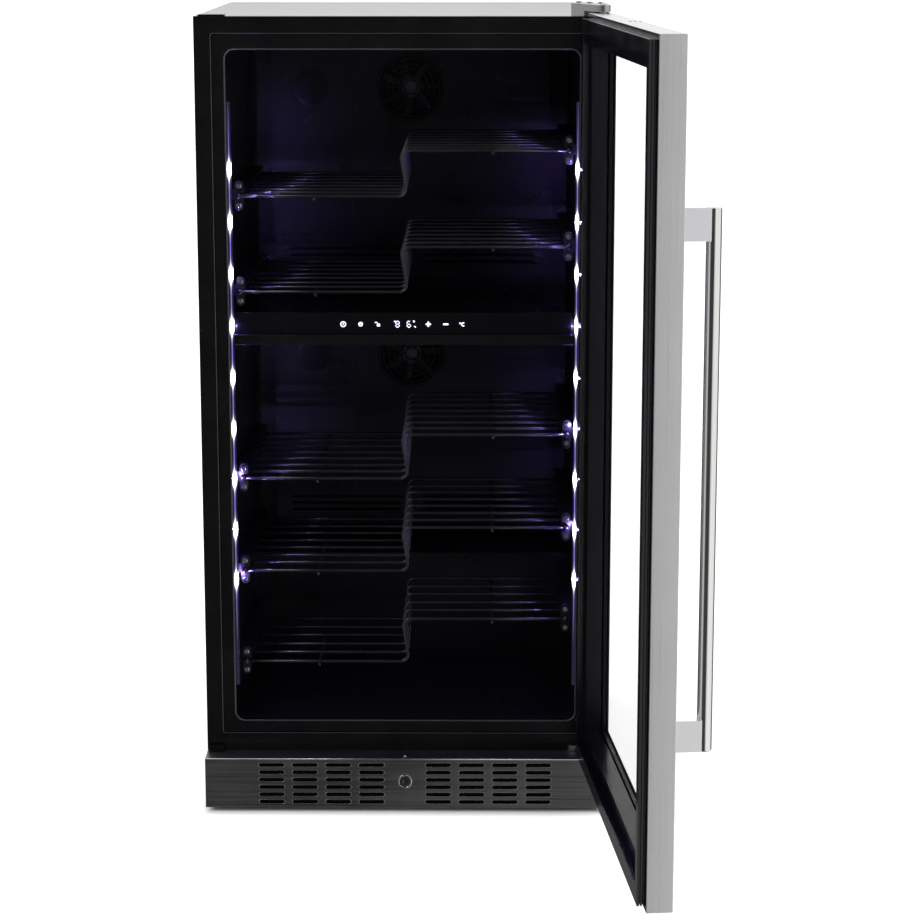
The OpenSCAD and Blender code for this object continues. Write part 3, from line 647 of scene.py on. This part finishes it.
PLEATS = 98
FILTER_X = 0.027
FILTER_WIDTH = 0.195
FILTER_BACK = 0.0026
FILTER_LOW = 0.010
FILTER_HIGH = 0.078
FILTER_THICK = 0.0004
PLEAT_DEPTH = 0.0012
filter_foam = moulded("filter_foam", (0.002, 0.002, 0.002), 0.9, spec=0.05, grain=900, bump=0.3)
for s, side_name in ((-1, "left"), (1, "right")):
    bm = bmesh.new()
    folds = []
    for k in range(PLEATS + 1):
        x = s * (FILTER_X + FILTER_WIDTH * k / PLEATS)
        y = kick_lo.y + FILTER_BACK + (PLEAT_DEPTH if k % 2 else 0.0)
        back_y = y + FILTER_THICK
        section = ((y, FILTER_LOW), (y, FILTER_HIGH), (back_y, FILTER_HIGH), (back_y, FILTER_LOW))
        folds.append([bm.verts.new((x, at_y, z)) for at_y, z in section])
    skin(bm, folds)
    bm.faces.new(folds[0])
    bm.faces.new(folds[-1])
    piece(f"vent_filter_{side_name}", bm, filter_foam, "cabinet", smooth=False)

SLOT_HALF = 0.0192
SLOT_END = 0.0029
SLOT_ROWS = 6
SLOT_COLUMNS = 4
FIRST_SLOT_X = 0.0497
SLOT_STEP_X = 0.0496
FIRST_SLOT_Z = 0.0154
SLOT_STEP_Z = 0.0115
RIM_OUT = 0.0002
RIM_BACK = 0.0001
RIM = 0.00035
rim_round = SLOT_END + RIM_OUT
bm = bmesh.new()
for s in (-1, 1):
    for i in range(SLOT_COLUMNS):
        middle = s * (FIRST_SLOT_X + i * SLOT_STEP_X)
        for k in range(SLOT_ROWS):
            z = FIRST_SLOT_Z + k * SLOT_STEP_Z
            bead(bm, SLOT_HALF + RIM_OUT, z - rim_round, z + rim_round, rim_round, kick_lo.y + RIM_BACK, RIM,
                 sides=6, middle=middle, arc_steps=4)
# the rims' steel is about twice as light as the kick plate's: painted highlights round the slots
rim_highlight_steel = brushed("rim_highlight_steel", (0.36, 0.36, 0.365), 0.25, 0)
piece("vent_rims", bm, rim_highlight_steel, "cabinet")


# ---- plugs in the door's top edge ----

# each plug's x and radius, and the share of the radius and the height of each ring of its low dome
PLUGS = ((0.3054, 0.0022), (0.3112, 0.0016), (0.3185, 0.0020))
PLUG_Y = -0.289
PLUG_RINGS = ((1.0, 0.0), (0.95, 0.0003), (0.7, 0.0004), (0.5, 0.0001))
door_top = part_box("door_outer_frame")[1].z
bm = bmesh.new()
for x, r in PLUGS:
    rings = []
    for share, h in PLUG_RINGS:
        at = [(x + r * share * math.cos(a), PLUG_Y + r * share * math.sin(a)) for a in turns(20)]
        rings.append([bm.verts.new((px, py, door_top + h)) for px, py in at])
    skin(bm, rings)
    bm.faces.new(rings[-1])
    bm.faces.new(list(reversed(rings[0])))
piece("door_top_plugs", bm, MATS["black_rubber"], "door")


# ---- floor ----

FLOOR_SIZE = 14
FLOOR_GLOW = 0.62
# axis, middle and half width of the part's footprint, where the floor doesn't glow: a painted shadow under
# the part
PAINTED_SHADOW_BOX = (("X", 0.0, 0.285), ("Y", 0.25, 0.285))
PAINTED_SHADOW_FADE = 0.025
bm = bmesh.new()
bmesh.ops.create_grid(bm, x_segments=8, y_segments=8, size=FLOOR_SIZE)
floor_mesh = bpy.data.meshes.new("floor")
bm.to_mesh(floor_mesh)
bm.free()
m = Tree("floor")
m.tint(m.noise((1.2, 1.2, 1.2)), "Fac", (0.86, 0.86, 0.86), (0.88, 0.88, 0.88))
place = m.add("ShaderNodeSeparateXYZ")
m.join(m.coords, "Object", place, "Vector")
gaps = []
for axis, middle, half in PAINTED_SHADOW_BOX:
    gap = m.maths("ABSOLUTE", m.maths("SUBTRACT", (place, axis), middle))
    gaps.append(m.spread(gap, 0, 0.0, 1.0, half, half + PAINTED_SHADOW_FADE))
# the floor glows only past the footprint, so it is darker under the part: a painted shadow
past_painted_shadow = m.maths("MAXIMUM", *gaps)
m.join(m.spread(past_painted_shadow, 0, 0.0, FLOOR_GLOW, 0, 1), 0, m.shader, "Emission Strength")
m.put(Roughness=0.9, Specular_IOR_Level=0.0, Emission_Color=(1, 1, 1))
floor_mesh.materials.append(m.mat)
floor = bpy.data.objects.new("floor", floor_mesh)
scene.collection.objects.link(floor)
floor.visible_glossy = False


# ---- world: white to the camera, light and dark cards by direction to everything else ----

world = bpy.data.worlds.new("studio")
world.use_nodes = True
scene.world = world
wt = world.node_tree


def sky(kind, **props):
    """A new node in the world's tree."""
    n = wt.nodes.new(kind)
    for k, v in props.items():
        setattr(n, k, v)
    return n


def sky_ramp(stops, fac):
    """Brightness by compass direction: degrees from the front, to the right positive."""
    r = sky("ShaderNodeValToRGB")
    ramp = r.color_ramp
    ramp.interpolation = "LINEAR"
    while len(ramp.elements) < len(stops):
        ramp.elements.new(0.5)
    for e, (angle, value) in zip(ramp.elements, stops):
        e.position = (angle + 180) / 360
        e.color = (value, value, value, 1)
    wt.links.new(fac, r.inputs["Fac"])
    return r.outputs["Color"]


# (direction, brightness) near the horizon and above it
LOW_CARDS = [(-180, 0.16), (-84, 0.20), (-72, 0.50), (-58, 0.50), (-46, 0.05), (3, 0.05),
             (13, 0.62), (28, 1.1), (100, 1.05), (116, 0.14), (180, 0.14)]
HIGH_CARDS = [(-180, 1.25), (-120, 1.1), (-70, 0.9), (-48, 0.15), (8, 0.15), (22, 0.9), (120, 1.1),
              (180, 1.25)]
LOW_CARDS_END = -0.02
HIGH_CARDS_START = 0.12
BACKDROP = 1.6
way = sky("ShaderNodeTexCoord")
axes = sky("ShaderNodeSeparateXYZ")
wt.links.new(way.outputs["Generated"], axes.inputs[0])
front = sky("ShaderNodeMath", operation="MULTIPLY")
front.inputs[1].default_value = -1.0
wt.links.new(axes.outputs["Y"], front.inputs[0])
turn = sky("ShaderNodeMath", operation="ARCTAN2")
wt.links.new(axes.outputs["X"], turn.inputs[0])
wt.links.new(front.outputs[0], turn.inputs[1])
compass = sky("ShaderNodeMapRange")
compass.inputs["From Min"].default_value = -math.pi
compass.inputs["From Max"].default_value = math.pi
wt.links.new(turn.outputs[0], compass.inputs["Value"])
height = sky("ShaderNodeMapRange")
height.inputs["From Min"].default_value = LOW_CARDS_END
height.inputs["From Max"].default_value = HIGH_CARDS_START
wt.links.new(axes.outputs["Z"], height.inputs["Value"])
cards = sky("ShaderNodeMix", data_type="RGBA")
wt.links.new(height.outputs[0], cards.inputs["Factor"])
wt.links.new(sky_ramp(LOW_CARDS, compass.outputs[0]), cards.inputs[6])
wt.links.new(sky_ramp(HIGH_CARDS, compass.outputs[0]), cards.inputs[7])
seen = sky("ShaderNodeLightPath")
backdrop = sky("ShaderNodeMix", data_type="RGBA")
wt.links.new(seen.outputs["Is Camera Ray"], backdrop.inputs["Factor"])
wt.links.new(cards.outputs[2], backdrop.inputs[6])
backdrop.inputs[7].default_value = (BACKDROP, BACKDROP, BACKDROP, 1)
wt.links.new(backdrop.outputs[2], wt.nodes["Background"].inputs["Color"])


# ---- lights ----

KEY_AT = Vector((-2.2, -2.6, 3.2))
KEY_AIM = Vector((0, 0, 0.5))
key_data = bpy.data.lights.new("key", "AREA")
key_data.shape = "RECTANGLE"
key_data.size = 1.6
key_data.size_y = 1.6
key_data.energy = 40
key = bpy.data.objects.new("key", key_data)
key.location = KEY_AT
key.rotation_euler = (KEY_AIM - KEY_AT).to_track_quat("-Z", "Y").to_euler()
scene.collection.objects.link(key)

# small violet lights just in front of the strips
LIGHT_IN = 0.0045
LIGHT_FORWARD = 0.001
light_x = -led_lo.x - LIGHT_IN
light_y = led_lo.y - LIGHT_FORWARD
for s, side_name in ((-1, "left"), (1, "right")):
    for k in range(LEDS):
        data = bpy.data.lights.new("led", "POINT")
        data.energy = 0.16
        data.color = (0.30, 0.18, 1.0)
        data.shadow_soft_size = 0.002
        o = bpy.data.objects.new(f"led_{side_name}_{k + 1}", data)
        o.location = (s * light_x, light_y, led_lo.z + LED_HALF + k * LED_PITCH)
        scene.collection.objects.link(o)
